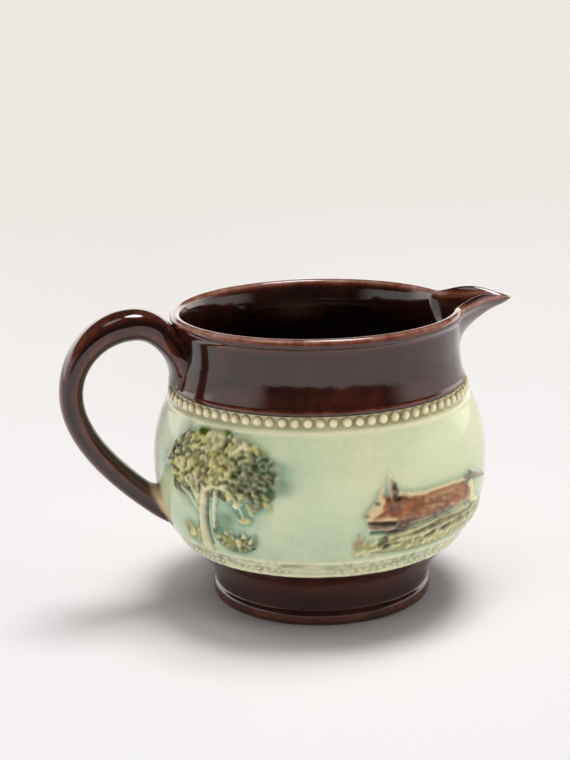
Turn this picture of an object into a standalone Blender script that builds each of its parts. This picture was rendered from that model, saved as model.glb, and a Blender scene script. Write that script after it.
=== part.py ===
"""Small stoneware cream jug with a moulded hunting relief.

The jug is one piece of fired clay. Its wall is a turned profile, the lip is drawn out
of the rim, and the handle, the row of beads and the relief figures are joined to it.

Frame: +X towards the lip, -X towards the handle, +Z up, origin on the jug's axis in the
plane of its flat underside. Lengths below are in millimetres and angles in degrees.
"""
import math

import bmesh
import bpy
from mathutils import Matrix, Vector

MM = 0.001

# Turned wall
FOOT_RADIUS = 31.4
FOOT_EDGE = 1.0
COVE_RADIUS = 30.8
COVE_HEIGHT = 5.4
BAND_FOOT_RADIUS = 39.2
BAND_FOOT_HEIGHT = 17.35
BELLY_RADIUS = 46.95
BELLY_HEIGHT = 39.5
SHOULDER_RADIUS = 42.1
SHOULDER_HEIGHT = 59.0
COLLAR_RADIUS = 40.9
COLLAR_HEIGHT = 63.2
NECK_RADIUS = 39.5
NECK_HEIGHT = 70.5
RIM_RADIUS = 40.9
RIM_HEIGHT = 82.4
RIM_ROLL = 1.5
WALL = 3.1
FLOOR = 4.6
FLOOR_BEND = 6.0
SHOULDER_BEND = 2.0
BAND_EDGE = 2.8
BODY_STEPS = 56

# Pouring lip
LIP_REACH = 16.6
LIP_ROOT_HEIGHT = 66.0
LIP_HALF_ANGLE = 19.0
LIP_RISE = 2.0
LIP_TAPER = 1.65
LIP_MITRE = 0.75
LIP_LIFT = 2.1
LIP_DROP = 0.6
LIP_GATHER = 24.0

# Handle
HANDLE_TURN = 5.0
HANDLE_THICK = 6.5
HANDLE_WIDTH = 9.0
FINGER_ROOM = 19.2
HANDLE_BOW_HEIGHT = 62.5
HANDLE_CREST_DROP = 1.3
HANDLE_CREST_SHARE = 0.42
HANDLE_TAIL_HEIGHT = 63.6
HANDLE_TAIL_TAPER = 0.6
HANDLE_CREST_SWELL = 1.22
HANDLE_SEAT_HEIGHT = 26.5
HANDLE_SEAT_SWELL = 1.35
HANDLE_END_ARM = 2.0
HANDLE_BEVEL_STEPS = 4

# Row of beads under the neck
BEAD_COUNT = 78
BEAD_DIAMETER = 2.6
BEAD_HEIGHT = 60.7
BEAD_PROUD = 0.7

# Relief figures, front and back
RELIEF_SUNK = 0.35
RELIEF_BACKING = 1.0
RELIEF_CELL = 1.0
RELIEF_KEPT_SHARE = 0.12
TREE_HEIGHT = 34.0
TREE_DEPTH = 1.2
TREE_AZIMUTH = -137.0
TREE_FOOT_HEIGHT = 23.6
FOX_LENGTH = 54.0
FOX_DEPTH = 1.3
FOX_AZIMUTH = -56.5
FOX_FOOT_HEIGHT = 23.0
BACK_TREE_AZIMUTH = 133.0
HOUND_AZIMUTH = 60.0

# Kappa turns a quarter of an ellipse into one Bezier stretch
KAPPA = 0.5523


def clamp(value, low=0.0, high=1.0):
    return max(low, min(high, value))


def spread(low, high, count):
    """Evenly spaced values from low to high, both ends included."""
    return [low + (high - low) * i / (count - 1) for i in range(count)]


def between(start, end, share, power=1.0):
    return start + (end - start) * clamp(share) ** power


def outer_radius(height):
    """Radius of the turned outside at a height, without the lip."""
    if height < COVE_HEIGHT:
        return between(FOOT_RADIUS, COVE_RADIUS, height / COVE_HEIGHT, 4)
    if height < BAND_FOOT_HEIGHT:
        share = (height - COVE_HEIGHT) / (BAND_FOOT_HEIGHT - COVE_HEIGHT)
        return between(COVE_RADIUS, BAND_FOOT_RADIUS, share, 1.7)
    if height < BELLY_HEIGHT:
        share = (BELLY_HEIGHT - height) / (BELLY_HEIGHT - BAND_FOOT_HEIGHT)
        return between(BELLY_RADIUS, BAND_FOOT_RADIUS, share, 2.5)
    if height < SHOULDER_HEIGHT:
        share = (height - BELLY_HEIGHT) / (SHOULDER_HEIGHT - BELLY_HEIGHT)
        return between(BELLY_RADIUS, SHOULDER_RADIUS, share, 2.4)
    if height < COLLAR_HEIGHT:
        share = (height - SHOULDER_HEIGHT) / (COLLAR_HEIGHT - SHOULDER_HEIGHT)
        return between(SHOULDER_RADIUS, COLLAR_RADIUS, share, 0.7)
    if height < NECK_HEIGHT:
        share = (NECK_HEIGHT - height) / (NECK_HEIGHT - COLLAR_HEIGHT)
        return between(NECK_RADIUS, COLLAR_RADIUS, share, 2.2)
    share = (height - NECK_HEIGHT) / (RIM_HEIGHT - NECK_HEIGHT)
    return between(NECK_RADIUS, RIM_RADIUS - 0.5 * RIM_ROLL, share, 2.0)


def rim_roll(angles):
    """Points round the rolled edge of the rim, as radius and height."""
    return [(RIM_RADIUS - RIM_ROLL + RIM_ROLL * math.cos(math.radians(angle)),
             RIM_HEIGHT - RIM_ROLL + RIM_ROLL * math.sin(math.radians(angle)))
            for angle in angles]


def wall_profile():
    """Half section of the wall, up the inside, over the rim and down the outside."""
    inner_heights = spread(FLOOR + FLOOR_BEND, SHOULDER_HEIGHT - SHOULDER_BEND, 6)
    inner_heights += [COLLAR_HEIGHT + SHOULDER_BEND / 2, NECK_HEIGHT + SHOULDER_BEND / 2]
    inside = [(0.0, FLOOR), (FOOT_RADIUS - 2.5 * WALL, FLOOR)]
    inside += [(outer_radius(height) - WALL, height) for height in inner_heights]
    inside += rim_roll([185, 140])
    outer_heights = spread(RIM_HEIGHT - 2.6 * RIM_ROLL, COLLAR_HEIGHT, 5)
    outer_heights += spread(SHOULDER_HEIGHT, BAND_FOOT_HEIGHT, 9)
    outer_heights += spread(BAND_FOOT_HEIGHT - BAND_EDGE, COVE_HEIGHT, 4)
    outer_heights += [0.5 * COVE_HEIGHT, FOOT_EDGE]
    outside = rim_roll([90, 45, 0, -45])
    outside += [(outer_radius(height), height) for height in outer_heights]
    outside += [(FOOT_RADIUS - FOOT_EDGE, 0.0), (0.0, 0.0)]
    return inside + outside


def lip_shift(azimuth, height, inset):
    """Outward and upward move that draws the lip out of the rim."""
    rise = clamp((height - LIP_ROOT_HEIGHT) / (RIM_HEIGHT - LIP_ROOT_HEIGHT))
    near = clamp(1.0 - abs(azimuth) / LIP_HALF_ANGLE)
    push = (LIP_REACH - LIP_MITRE * inset) * rise ** LIP_RISE * near ** LIP_TAPER
    lift = LIP_LIFT * math.sin(math.pi * near) ** 2 - LIP_DROP * near ** 3
    return push, lift * rise ** 4


def on_wall(azimuth, height, proud=0.0):
    """World point that stands proud of the turned outside, square to its surface."""
    slope = (outer_radius(height + 0.2) - outer_radius(height - 0.2)) / 0.4
    normal = Vector((1.0, -slope)).normalized()
    radius = outer_radius(height) + proud * normal.x
    angle = math.radians(azimuth)
    return Vector((radius * math.cos(angle), radius * math.sin(angle),
                   height + proud * normal.y)) * MM


def add_object(name, mesh, collection):
    item = bpy.data.objects.new(name, mesh)
    collection.objects.link(item)
    return item


def evaluated_mesh(item, name):
    """The object's evaluated mesh, welded and with its faces pointing out."""
    bpy.context.view_layer.update()
    graph = bpy.context.evaluated_depsgraph_get()
    mesh = bpy.data.meshes.new_from_object(item.evaluated_get(graph))
    mesh.name = name
    work = bmesh.new()
    work.from_mesh(mesh)
    bmesh.ops.remove_doubles(work, verts=work.verts, dist=0.00001)
    bmesh.ops.recalc_face_normals(work, faces=work.faces)
    work.to_mesh(mesh)
    work.free()
    return mesh


def turn_profile(name, profile, collection):
    """Mesh of a half section turned about Z; its two ends lie on the axis."""
    outline = bpy.data.meshes.new(name + "_outline")
    outline.from_pydata([(radius * MM, 0.0, height * MM) for radius, height in profile],
                        [(i, i + 1) for i in range(len(profile) - 1)], [])
    turned = add_object(name + "_outline", outline, collection)
    screw = turned.modifiers.new("turn", "SCREW")
    screw.axis = "Z"
    screw.steps = BODY_STEPS
    screw.render_steps = BODY_STEPS
    screw.use_merge_vertices = True
    screw.merge_threshold = 0.0001
    mesh = evaluated_mesh(turned, name)
    bpy.data.objects.remove(turned)
    return mesh


def build_wall(collection, materials):
    """The turned wall with the lip drawn out of its rim."""
    mesh = turn_profile("pitcher", wall_profile(), collection)
    for vertex in mesh.vertices:
        radius = math.hypot(vertex.co.x, vertex.co.y) / MM
        height = vertex.co.z / MM
        azimuth = math.atan2(vertex.co.y, vertex.co.x)
        azimuth -= math.radians(LIP_GATHER) * math.sin(azimuth)
        inset = max(0.0, outer_radius(height) - radius)
        push, lift = lip_shift(math.degrees(azimuth), height, inset)
        vertex.co = Vector(((radius + push) * math.cos(azimuth),
                            (radius + push) * math.sin(azimuth), height + lift)) * MM
    for name in ("brown_glaze", "green_glaze"):
        mesh.materials.append(materials[name])
    band_reach = outer_radius(BAND_FOOT_HEIGHT) - WALL
    for face in mesh.polygons:
        height = face.center.z / MM
        outside = math.hypot(face.center.x, face.center.y) / MM > band_reach
        in_band = BAND_FOOT_HEIGHT < height < SHOULDER_HEIGHT and outside
        face.material_index = int(in_band and face.normal.dot(face.center) > 0)
    return add_object("pitcher", mesh, collection)


def handle_knots():
    """Knots of the handle's middle line: reach, height, both Bezier arms and swell."""
    tail_reach = outer_radius(HANDLE_TAIL_HEIGHT) - 0.3 * HANDLE_THICK * HANDLE_TAIL_TAPER
    seat_reach = outer_radius(HANDLE_SEAT_HEIGHT) - 0.5 * WALL
    bow = BELLY_RADIUS + FINGER_ROOM + HANDLE_THICK / 2
    crest_height = RIM_HEIGHT - HANDLE_CREST_DROP
    crest_reach = between(tail_reach, bow, HANDLE_CREST_SHARE)
    elbow_height = between(HANDLE_BOW_HEIGHT, HANDLE_SEAT_HEIGHT, 0.44)
    down, up = crest_height - HANDLE_BOW_HEIGHT, crest_height - HANDLE_TAIL_HEIGHT
    return [
        ((tail_reach, HANDLE_TAIL_HEIGHT), (tail_reach, HANDLE_TAIL_HEIGHT - HANDLE_END_ARM),
         (tail_reach, HANDLE_TAIL_HEIGHT + KAPPA * up), HANDLE_TAIL_TAPER),
        ((crest_reach, crest_height),
         (between(crest_reach, tail_reach, KAPPA), crest_height),
         (between(crest_reach, bow, KAPPA), crest_height), HANDLE_CREST_SWELL),
        ((bow, HANDLE_BOW_HEIGHT), (bow, HANDLE_BOW_HEIGHT + KAPPA * down),
         (bow, between(HANDLE_BOW_HEIGHT, elbow_height, 2 / 3)), 1.0),
        ((seat_reach, HANDLE_SEAT_HEIGHT),
         (between(seat_reach, bow, 2 / 3), between(HANDLE_SEAT_HEIGHT, elbow_height, 2 / 3)),
         (seat_reach - HANDLE_END_ARM, HANDLE_SEAT_HEIGHT - HANDLE_END_ARM), HANDLE_SEAT_SWELL),
    ]


def build_handle(collection, joins, material):
    """The pulled handle, trimmed where its two ends sink into the wall."""
    curve = bpy.data.curves.new("handle_line", "CURVE")
    curve.dimensions = "3D"
    curve.bevel_depth = HANDLE_THICK / 2 * MM
    curve.bevel_resolution = HANDLE_BEVEL_STEPS
    curve.use_fill_caps = True
    curve.resolution_u = 8
    spline = curve.splines.new("BEZIER")
    knots = handle_knots()
    spline.bezier_points.add(len(knots) - 1)
    for point, (place, arm_in, arm_out, swell) in zip(spline.bezier_points, knots):
        point.co = Vector((-place[0], 0.0, place[1])) * MM
        point.handle_left = Vector((-arm_in[0], 0.0, arm_in[1])) * MM
        point.handle_right = Vector((-arm_out[0], 0.0, arm_out[1])) * MM
        point.radius = swell
    line = add_object("handle_line", curve, collection)
    line.rotation_euler = (0.0, 0.0, math.radians(HANDLE_TURN))
    mesh = evaluated_mesh(line, "handle")
    for vertex in mesh.vertices:
        vertex.co.y *= HANDLE_WIDTH / HANDLE_THICK
    mesh.materials.append(material)
    handle = add_object("handle", mesh, joins)
    handle.matrix_world = line.matrix_world
    bpy.data.objects.remove(line)

    core_heights = spread(FLOOR, RIM_HEIGHT + RIM_ROLL, 24)
    core_profile = [(0.0, core_heights[-1])]
    core_profile += [(outer_radius(height) - WALL / 2, height) for height in core_heights[::-1]]
    core_profile += [(0.0, core_heights[0])]
    core = add_object("core", turn_profile("core", core_profile, collection), joins)
    trim = handle.modifiers.new("trim_inside_wall", "BOOLEAN")
    trim.operation = "DIFFERENCE"
    trim.object = core
    return handle


def build_beads(joins, material):
    """The row of beads round the shoulder, each half sunk into the wall."""
    work = bmesh.new()
    for i in range(BEAD_COUNT):
        azimuth = 360.0 * (i + 0.5) / BEAD_COUNT
        place = Matrix.Translation(on_wall(azimuth, BEAD_HEIGHT, BEAD_PROUD - BEAD_DIAMETER / 2))
        turn = Matrix.Rotation(math.radians(azimuth), 4, "Z") @ Matrix.Rotation(math.pi / 2, 4, "Y")
        bmesh.ops.create_uvsphere(work, u_segments=6, v_segments=4,
                                  radius=BEAD_DIAMETER / 2 * MM, matrix=place @ turn)
    mesh = bpy.data.meshes.new("beads")
    work.to_mesh(mesh)
    work.free()
    mesh.materials.append(material)
    return add_object("beads", mesh, joins)


def ridge(across, up, stroke):
    """Height of one rounded ridge at a point, as a share of the relief's depth."""
    x0, y0, x1, y1, start_width, end_width, crown = stroke
    dx, dy = x1 - x0, y1 - y0
    along = clamp(((across - x0) * dx + (up - y0) * dy) / max(dx * dx + dy * dy, 1e-9))
    gap = math.hypot(across - x0 - along * dx, up - y0 - along * dy)
    dome = 1.0 - (gap / between(start_width, end_width, along)) ** 2
    return crown * dome ** 0.75 if dome > 0 else 0.6 * dome


def tree_strokes():
    """Trunks, crown and bushes of the tree, as shares of its height."""
    strokes = [
        (-0.14, 0.02, -0.09, 0.52, 0.060, 0.038, 0.75),
        (-0.07, 0.05, 0.03, 0.52, 0.045, 0.035, 0.70),
        (-0.13, 0.44, -0.26, 0.58, 0.035, 0.030, 0.65),
        (-0.03, 0.56, 0.17, 0.56, 0.035, 0.040, 0.65),
        (0.17, 0.56, 0.28, 0.36, 0.045, 0.035, 0.65),
        (-0.32, 0.11, -0.23, 0.15, 0.055, 0.050, 0.45),
        (-0.42, 0.50, -0.32, 0.47, 0.075, 0.060, 0.70),
        (0.46, 0.54, 0.38, 0.44, 0.090, 0.070, 0.80),
    ]
    for i in range(6):
        turn = math.pi * (1.0 + i / 5)
        strokes.append((0.18 + 0.10 * math.cos(turn), 0.17 + 0.06 * math.sin(turn),
                        0.18 + 0.15 * math.cos(turn), 0.16 + 0.09 * math.sin(turn),
                        0.055, 0.050, 0.50 + 0.1 * (i % 2)))
    for ring, count in ((0.0, 1), (0.45, 6), (0.86, 14)):
        for i in range(count):
            turn = 2 * math.pi * (i + 0.3 * ring) / count
            across = 0.01 + 0.51 * ring * math.cos(turn)
            up = 0.73 + 0.20 * ring * math.sin(turn) - 0.06 * abs(across) * ring
            crown = 0.75 + 0.25 * math.sin(2.4 * i + 5.0 * ring)
            strokes.append((across - 0.03, up, across + 0.03, up + 0.01, 0.115, 0.105, crown))
    return strokes


def fox_strokes():
    """The running fox, the log and the grass under it, as shares of its length."""
    strokes = [
        (-0.24, 0.250, -0.03, 0.262, 0.095, 0.078, 1.00),
        (-0.03, 0.262, 0.13, 0.258, 0.078, 0.068, 1.00),
        (-0.26, 0.230, -0.33, 0.180, 0.060, 0.030, 0.90),
        (-0.35, 0.305, -0.27, 0.290, 0.050, 0.075, 1.00),
        (-0.43, 0.258, -0.36, 0.300, 0.020, 0.045, 0.90),
        (-0.305, 0.345, -0.318, 0.425, 0.032, 0.012, 0.95),
        (-0.360, 0.350, -0.356, 0.392, 0.020, 0.010, 0.80),
        (-0.43, 0.234, -0.28, 0.214, 0.018, 0.024, 0.80),
        (-0.42, 0.184, -0.30, 0.178, 0.016, 0.024, 0.75),
        (0.215, 0.280, 0.255, 0.205, 0.048, 0.036, 0.80),
        (0.25, 0.200, 0.36, 0.150, 0.032, 0.016, 0.70),
        (0.15, 0.312, 0.24, 0.322, 0.024, 0.030, 0.85),
        (0.24, 0.322, 0.44, 0.262, 0.030, 0.012, 0.80),
        (-0.28, 0.128, -0.03, 0.150, 0.026, 0.026, 0.55),
        (-0.03, 0.150, 0.24, 0.145, 0.026, 0.022, 0.55),
        (-0.48, 0.100, -0.18, 0.055, 0.034, 0.034, 0.45),
        (-0.18, 0.055, 0.20, 0.050, 0.034, 0.034, 0.45),
        (0.20, 0.050, 0.46, 0.040, 0.034, 0.022, 0.40),
    ]
    for i in range(9):
        across = -0.46 + 0.10 * i
        strokes.append((across, 0.080 - 0.004 * i, across + 0.02, 0.130 - 0.006 * i,
                        0.024, 0.014, 0.50))
    return strokes


def relief_mesh(work, strokes, size, depth, azimuth, foot_height, cell, mirror=1):
    """A closed plaque that follows the wall, sunk under it outside the figure."""
    sides = [s[0] - s[4] for s in strokes] + [s[2] - s[5] for s in strokes]
    low_across = min(sides) - 0.01
    sides = [s[0] + s[4] for s in strokes] + [s[2] + s[5] for s in strokes]
    high_across = max(sides) + 0.01
    low_up = min([s[1] - s[4] for s in strokes] + [s[3] - s[5] for s in strokes]) - 0.01
    high_up = max([s[1] + s[4] for s in strokes] + [s[3] + s[5] for s in strokes]) + 0.01
    columns = math.ceil((high_across - low_across) * size / cell)
    rows = math.ceil((high_up - low_up) * size / cell)
    degrees_per_mm = math.degrees(1.0 / BELLY_RADIUS)
    front = []
    back = []
    for up in spread(low_up, high_up, rows + 1):
        height = foot_height + up * size
        for across in spread(low_across, high_across, columns + 1):
            proud = depth * max(ridge(across, up, stroke) for stroke in strokes)
            proud = max(proud, -RELIEF_SUNK)
            turn = azimuth + mirror * across * size * degrees_per_mm
            front.append(work.verts.new(on_wall(turn, height, proud)))
            back.append(work.verts.new(on_wall(turn, height, -RELIEF_SUNK - RELIEF_BACKING)))
    width = columns + 1
    faces = []
    for row in range(rows):
        for column in range(columns):
            i = row * width + column
            faces.append([front[i], front[i + 1], front[i + width + 1], front[i + width]])
            faces.append([back[i + width], back[i + width + 1], back[i + 1], back[i]])
    rim = [i for i in range(width)]
    rim += [row * width + columns for row in range(1, rows + 1)]
    rim += [rows * width + column for column in range(columns - 1, -1, -1)]
    rim += [row * width for row in range(rows - 1, 0, -1)]
    for i, j in zip(rim, rim[1:] + rim[:1]):
        faces.append([front[j], front[i], back[i], back[j]])
    return [work.faces.new(face) for face in faces]


def build_relief(joins, materials):
    """The four figures: tree and fox in front, a plainer tree and hound behind."""
    work = bmesh.new()
    relief_mesh(work, tree_strokes(), TREE_HEIGHT, TREE_DEPTH, TREE_AZIMUTH,
                TREE_FOOT_HEIGHT, RELIEF_CELL)
    relief_mesh(work, fox_strokes(), FOX_LENGTH, FOX_DEPTH, FOX_AZIMUTH,
                FOX_FOOT_HEIGHT, RELIEF_CELL)
    relief_mesh(work, tree_strokes(), TREE_HEIGHT, TREE_DEPTH, BACK_TREE_AZIMUTH,
                TREE_FOOT_HEIGHT, RELIEF_CELL, mirror=-1)
    relief_mesh(work, fox_strokes(), FOX_LENGTH, FOX_DEPTH, HOUND_AZIMUTH,
                FOX_FOOT_HEIGHT, RELIEF_CELL)
    bmesh.ops.recalc_face_normals(work, faces=work.faces)
    mesh = bpy.data.meshes.new("relief")
    work.to_mesh(mesh)
    work.free()
    mesh.materials.append(materials["relief_colour"])
    relief = add_object("relief", mesh, joins)
    thin = relief.modifiers.new("thin_out_flat_parts", "DECIMATE")
    thin.ratio = RELIEF_KEPT_SHARE
    thin.use_collapse_triangulate = True
    return relief


def join_clay(wall, joined):
    """Union of the wall with one of the pieces joined to it."""
    union = wall.modifiers.new("join_" + joined.name, "BOOLEAN")
    union.operation = "UNION"
    union.object = joined


def glaze(name, red, green, blue, roughness):
    material = bpy.data.materials.new(name)
    material.use_nodes = True
    shader = material.node_tree.nodes["Principled BSDF"]
    shader.inputs["Base Color"].default_value = (red, green, blue, 1.0)
    shader.inputs["Metallic"].default_value = 0.0
    shader.inputs["Roughness"].default_value = roughness
    return material


def build_jug():
    for item in list(bpy.data.objects):
        bpy.data.objects.remove(item)
    parts = bpy.data.collections.new("stoneware_pitcher")
    joins = bpy.data.collections.new("pieces_joined_to_the_wall")
    for collection in (parts, joins):
        bpy.context.scene.collection.children.link(collection)
    materials = {
        "brown_glaze": glaze("brown_glaze", 0.040, 0.014, 0.008, 0.12),
        "green_glaze": glaze("green_glaze", 0.52, 0.60, 0.40, 0.15),
        "cream_glaze": glaze("cream_glaze", 0.80, 0.72, 0.55, 0.20),
        "relief_colour": glaze("relief_colour", 0.22, 0.16, 0.06, 0.20),
    }
    wall = build_wall(parts, materials)
    join_clay(wall, build_handle(parts, joins, materials["brown_glaze"]))
    join_clay(wall, build_beads(joins, materials["cream_glaze"]))
    join_clay(wall, build_relief(joins, materials))
    for piece in joins.objects:
        piece.hide_render = True
        piece.display_type = "WIRE"
    wall.data.shade_smooth()
    wall.data.set_sharp_from_angle(angle=math.radians(40.0))


build_jug()
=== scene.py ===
"""Small stoneware cream jug with a moulded hunting relief, dressed as the fired pot.

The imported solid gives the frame. Four groups of fine mesh stand for it: the turned wall with
its drawn lip, the moulded band with its relief, the rows of beads, and the pulled handle.
The brown parts are dipped in a treacle glaze, and the band is painted and glazed pale green.

Frame: +X towards the lip, -X towards the handle, +Z up, origin on the jug's axis in the
plane of its underside. Sizes in the classes are in millimetres and angles in degrees.
"""
from __future__ import annotations

import logging
import math
from dataclasses import dataclass, field
from enum import Enum

import bpy
import numpy as np
from mathutils import Matrix, Vector


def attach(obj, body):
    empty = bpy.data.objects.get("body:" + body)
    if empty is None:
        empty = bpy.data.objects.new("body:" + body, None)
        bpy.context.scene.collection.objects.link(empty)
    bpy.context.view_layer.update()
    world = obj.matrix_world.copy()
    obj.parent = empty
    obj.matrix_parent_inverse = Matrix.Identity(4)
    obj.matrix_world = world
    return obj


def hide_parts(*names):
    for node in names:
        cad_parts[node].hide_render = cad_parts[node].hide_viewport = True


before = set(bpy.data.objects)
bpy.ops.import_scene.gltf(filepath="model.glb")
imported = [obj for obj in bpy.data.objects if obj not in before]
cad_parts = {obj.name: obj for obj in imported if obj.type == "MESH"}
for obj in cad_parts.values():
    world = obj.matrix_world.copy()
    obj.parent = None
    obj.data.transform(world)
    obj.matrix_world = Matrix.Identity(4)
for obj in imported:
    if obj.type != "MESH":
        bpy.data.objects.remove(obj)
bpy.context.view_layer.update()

LOG = logging.getLogger("stoneware_jug")
MM = 0.001
BODY = "root"
NODE = "pitcher"
# Turns a quarter of an ellipse into one Bezier stretch
KAPPA = 0.5523
# What a Math or Mix node is set to do
TIMES = {"operation": "MULTIPLY"}
TIMES_PLUS = {"operation": "MULTIPLY_ADD"}
LARGER = {"operation": "MAXIMUM"}
BLEND = {"data_type": "RGBA"}


class Tint(Enum):
    """Colours painted on the moulded figures before glazing, as sRGB hex."""

    LEAF = "#83803e"
    LEAF_LIGHT = "#b0a756"
    LEAF_PALE = "#d6d2a0"
    LEAF_DARK = "#3c4a10"
    TEAL = "#6b9a88"
    TEAL_DARK = "#1f4a28"
    RUSSET = "#8a5a3a"
    BARK = "#cbcaa0"
    GRASS = "#8b8a5a"
    LOG = "#b9b283"
    FOX = "#8c4a1a"
    FOX_LIGHT = "#cfae7c"
    FOX_DARK = "#2c1206"
    HOUND = "#d6cdae"
    HOUND_DARK = "#7a5a3a"


class Side(Enum):
    """Which way a figure on the band faces, seen from outside the jug."""

    AS_DRAWN = 1
    MIRRORED = -1


def linear(code: str) -> tuple[float, float, float, float]:
    """Turn an sRGB hex colour into the linear one that shaders use.

    Args:
        code: the colour as "#rrggbb".

    Returns:
        Red, green, blue and an alpha of one.
    """
    shares = [int(code[i:i + 2], 16) / 255 for i in (1, 3, 5)]
    turned = [s / 12.92 if s <= 0.04045 else ((s + 0.055) / 1.055) ** 2.4 for s in shares]
    return (*turned, 1.0)


def settled(value: object) -> object:
    """Turn a hex colour into its linear one and leave any other value as it is."""
    return linear(value) if isinstance(value, str) else value


def between(start: float, end: float, share: np.ndarray, power: float = 1.0) -> np.ndarray:
    """Run from start to end as share goes from nought to one, eased by power."""
    return start + (end - start) * np.clip(share, 0.0, 1.0) ** power


def smooth(share: np.ndarray) -> np.ndarray:
    """Ease a share of nought to one in and out."""
    share = np.clip(share, 0.0, 1.0)
    return share * share * (3.0 - 2.0 * share)


def hump(value: np.ndarray, middle: float, half: float, power: int = 2) -> np.ndarray:
    """Give one at the middle, and fall off over about half a width on both sides."""
    return np.exp(-((value - middle) / half) ** power)


def soften(grid: np.ndarray, reach: float) -> np.ndarray:
    """Soften a grid of heights by azimuths, which closes on itself round the jug.

    Args:
        grid: the values.
        reach: standard deviation of the softening, in cells.

    Returns:
        The softened grid, of the same shape.
    """
    size = max(1, int(math.ceil(2.5 * reach)))
    weights = np.exp(-0.5 * (np.arange(-size, size + 1) / reach) ** 2)
    weights /= weights.sum()
    for axis, mode in ((0, "edge"), (1, "wrap")):
        pads = [(0, 0)] * grid.ndim
        pads[axis] = (size, size)
        padded, count = np.pad(grid, pads, mode=mode), grid.shape[axis]
        grid = sum(weight * np.take(padded, range(i, i + count), axis=axis)
                   for i, weight in enumerate(weights))
    return grid


@dataclass(frozen=True)
class TurnedOutline:
    """The half section that the jug's wall is turned to, and the lip drawn from its rim."""

    foot_radius: float = 31.4
    foot_edge: float = 1.0
    cove_radius: float = 30.8
    cove_height: float = 5.4
    band_foot_radius: float = 39.2
    band_foot_height: float = 17.35
    belly_radius: float = 46.95
    belly_height: float = 39.5
    shoulder_radius: float = 42.1
    shoulder_height: float = 59.0
    collar_radius: float = 40.9
    collar_height: float = 63.2
    neck_radius: float = 39.5
    neck_height: float = 71.3
    rim_radius: float = 40.9
    rim_height: float = 82.4
    rim_roll: float = 1.5
    wall: float = 3.1
    floor: float = 4.6
    lip_reach: float = 17.9
    lip_root_height: float = 66.0
    lip_half_angle: float = 19.0
    lip_rise: float = 2.0
    lip_taper: float = 1.65
    lip_mitre: float = 0.75
    lip_lift: float = 2.1
    lip_drop: float = 0.6
    lip_gather: float = 24.0
    lip_blunt: float = 0.05

    def radius(self, height: np.ndarray) -> np.ndarray:
        """Give the outside's radius at each height, without the lip."""
        z = np.asarray(height, float)
        foot, cove = (0.0, self.foot_radius), (self.cove_height, self.cove_radius)
        band = (self.band_foot_height, self.band_foot_radius)
        belly = (self.belly_height, self.belly_radius)
        shoulder = (self.shoulder_height, self.shoulder_radius)
        collar = (self.collar_height, self.collar_radius)
        neck = (self.neck_height, self.neck_radius)
        rim = (self.rim_height, self.rim_radius - 0.5 * self.rim_roll)
        stretches = ((foot, cove, 4.0), (cove, band, 1.7), (belly, band, 2.5),
                     (belly, shoulder, 2.4), (shoulder, collar, 0.7), (neck, collar, 1.3),
                     (neck, rim, 2.0))
        radii = [between(r0, r1, (z - z0) / (z1 - z0), power)
                 for (z0, r0), (z1, r1), power in stretches]
        below = [z < max(z0, z1) for (z0, _), (z1, _), _ in stretches[:-1]]
        return np.select(below, radii[:-1], radii[-1])

    def lip_shift(self, azimuth: np.ndarray, height: np.ndarray,
                  inset: np.ndarray) -> tuple[np.ndarray, np.ndarray]:
        """Work out how far the lip draws a point outward and upward.

        Args:
            azimuth: degrees round from the lip.
            height: the point's height before it moves.
            inset: how far the point lies inside the turned outside.

        Returns:
            The outward and the upward move.
        """
        rise = np.clip((height - self.lip_root_height)
                       / (self.rim_height - self.lip_root_height), 0.0, 1.0)
        near = np.clip(1.0 - np.hypot(azimuth / self.lip_half_angle, self.lip_blunt), 0.0, 1.0)
        push = (self.lip_reach - self.lip_mitre * inset) * rise ** self.lip_rise
        lift = self.lip_lift * np.sin(math.pi * near ** 1.35) ** 1.5 - self.lip_drop * near ** 3
        return push * near ** self.lip_taper, lift * rise ** 4

    def gathered(self, count: int) -> np.ndarray:
        """Space azimuths round the jug, in radians, closer together near the lip."""
        turn = np.linspace(-math.pi, math.pi, count, endpoint=False)
        return turn - math.radians(self.lip_gather) * np.sin(turn)

    def on_wall(self, azimuth: np.ndarray, height: np.ndarray,
                proud: np.ndarray) -> np.ndarray:
        """Find points that stand proud of the turned outside, square to it.

        Args:
            azimuth: radians round from the lip.
            height: height of the foot of each normal.
            proud: distance out along the normal.

        Returns:
            Points in metres, with x, y and z along the last axis.
        """
        slope = (self.radius(height + 0.2) - self.radius(height - 0.2)) / 0.4
        length = np.sqrt(1.0 + slope ** 2)
        reach = self.radius(height) + proud / length
        up = height - proud * slope / length
        return np.stack([reach * np.cos(azimuth), reach * np.sin(azimuth), up], axis=-1) * MM


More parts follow.
